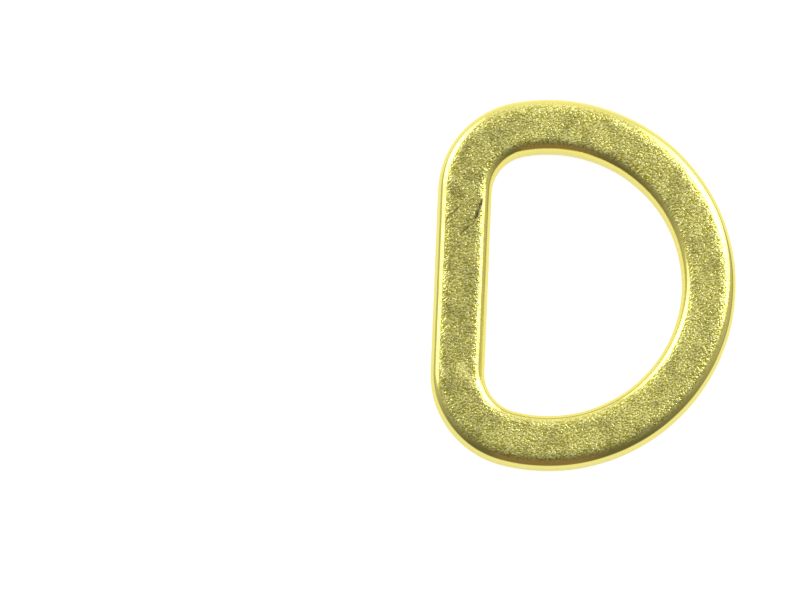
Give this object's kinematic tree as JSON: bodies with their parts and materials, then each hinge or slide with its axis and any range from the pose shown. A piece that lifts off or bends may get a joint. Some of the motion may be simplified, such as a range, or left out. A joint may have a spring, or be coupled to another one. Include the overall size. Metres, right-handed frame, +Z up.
{
  "type": "d ring",
  "caption": "Flat cast metal D ring with a straight bar that takes a strap, a round bow for a hook or tab, and rounded edges all round.",
  "frame": {"origin": "middle of the ring's outline, on the plane that the ring lies on", "axes": "+X from the bar to the crown of the bow, +Y along the bar, +Z up out of the upper face"},
  "size_m": [0.0284, 0.0352, 0.0035],
  "materials": {
    "brass": "cast yellow brass, tumbled to a fine grain on the faces and burnished on the rounded edges"
  },
  "bodies": {
    "root": {"d_ring": "brass"}
  },
  "joints": []
}
